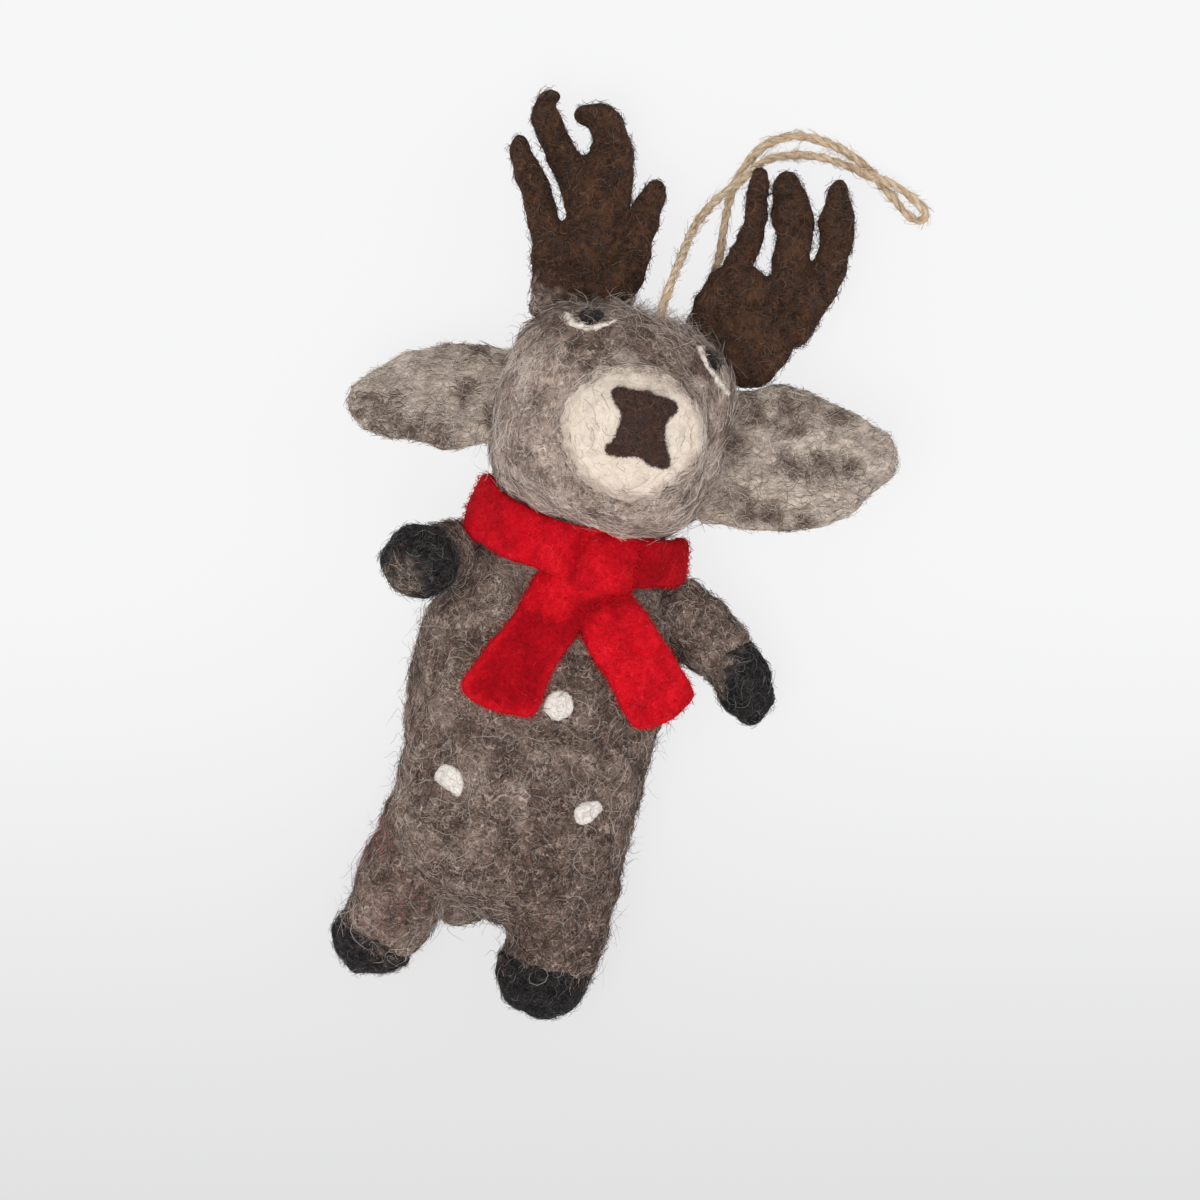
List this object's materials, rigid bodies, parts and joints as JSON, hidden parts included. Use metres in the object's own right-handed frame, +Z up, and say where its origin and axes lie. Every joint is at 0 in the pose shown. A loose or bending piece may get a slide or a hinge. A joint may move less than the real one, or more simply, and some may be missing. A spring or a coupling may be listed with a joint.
{
  "type": "reindeer ornament",
  "caption": "Needle-felted wool reindeer with flat antlers, leaf ears, string-jointed arms, a knotted felt scarf and a twine hanging loop, lying on its back.",
  "frame": {"origin": "on the flat of the torso's back, under the middle of the belly, on the surface that the ornament lies on", "axes": "+Y from the hooves to the antlers, +X to the viewer's right when looking at the belly, +Z up out of the belly"},
  "size_m": [0.0867, 0.1484, 0.0435],
  "materials": {
    "body_wool": "matte felted wool, grey-brown",
    "head_wool": "matte felted wool, light grey-brown",
    "ear_wool": "matte felted wool, mottled grey and cream",
    "cream_wool": "matte felted wool, cream",
    "white_wool": "matte felted wool, off-white",
    "brown_wool": "matte felted wool, dark brown",
    "brown_felt": "thin felt, dark brown",
    "black_wool": "matte felted wool, near black with grey fibres",
    "red_felt": "thick felt, bright red",
    "jute_twine": "two-ply jute twine, fuzzy",
    "thread": "waxed thread"
  },
  "bodies": {
    "torso": {"torso": "body_wool", "left_leg": "body_wool", "right_leg": "body_wool", "left_hind_hoof": "black_wool", "right_hind_hoof": "black_wool", "tail": "body_wool", "spot_upper": "white_wool", "spot_left": "white_wool", "spot_right": "white_wool", "scarf_collar": "red_felt", "scarf_knot": "red_felt", "shoulder_thread": "thread"},
    "neck": {"neck": "head_wool"},
    "head": {"head": "head_wool", "muzzle": "cream_wool", "nose": "brown_felt", "left_eye": "black_wool", "right_eye": "black_wool", "left_eyelid": "white_wool", "right_eyelid": "white_wool", "left_antler": "brown_wool", "right_antler": "brown_wool", "hanging_loop": "jute_twine", "loop_stitch": "jute_twine"},
    "left_ear": {"left_ear": "ear_wool"},
    "right_ear": {"right_ear": "ear_wool"},
    "left_arm": {"left_arm": "body_wool", "left_fore_hoof": "black_wool"},
    "right_arm": {"right_arm": "body_wool", "right_fore_hoof": "black_wool"},
    "left_scarf_end": {"scarf_left_tail": "red_felt"},
    "right_scarf_end": {"scarf_right_tail": "red_felt"}
  },
  "joints": [
    {"name": "head_turn", "type": "hinge", "parent": "torso", "child": "neck", "pos_m": [-0.0015, 0.024, 0.0155], "axis": [0, 1, 0], "range_deg": [-25, 25]},
    {"name": "head_nod", "type": "hinge", "parent": "neck", "child": "head", "pos_m": [-0.0015, 0.0454, 0.018], "axis": [1, 0, 0], "range_deg": [-12, 14]},
    {"name": "left_ear_fold", "type": "hinge", "parent": "head", "child": "left_ear", "pos_m": [-0.0178, 0.04366, 0.018], "axis": [-0.1929, 0.7731, -0.6043], "range_deg": [-20, 20], "stiffness_Nm_per_rad": 0.002},
    {"name": "right_ear_fold", "type": "hinge", "parent": "head", "child": "right_ear", "pos_m": [0.0148, 0.0446, 0.018], "axis": [-0.172, 0.9755, -0.1371], "range_deg": [-20, 20], "stiffness_Nm_per_rad": 0.002},
    {"name": "left_shoulder", "type": "hinge", "parent": "torso", "child": "left_arm", "pos_m": [-0.01914, 0.0188, 0.0128], "axis": [1, 0, 0], "range_deg": [-35, 35]},
    {"name": "right_shoulder", "type": "hinge", "parent": "torso", "child": "right_arm", "pos_m": [0.01586, 0.0188, 0.0128], "axis": [1, 0, 0], "range_deg": [-100, 5]},
    {"name": "left_scarf_lift", "type": "hinge", "parent": "torso", "child": "left_scarf_end", "pos_m": [-0.002, 0.0167, 0.0262], "axis": [-1, 0, 0], "range_deg": [0, 75]},
    {"name": "right_scarf_lift", "type": "hinge", "parent": "torso", "child": "right_scarf_end", "pos_m": [0.0063, 0.01634, 0.0262], "axis": [-0.6333, -0.7739, 0], "range_deg": [0, 75]}
  ]
}
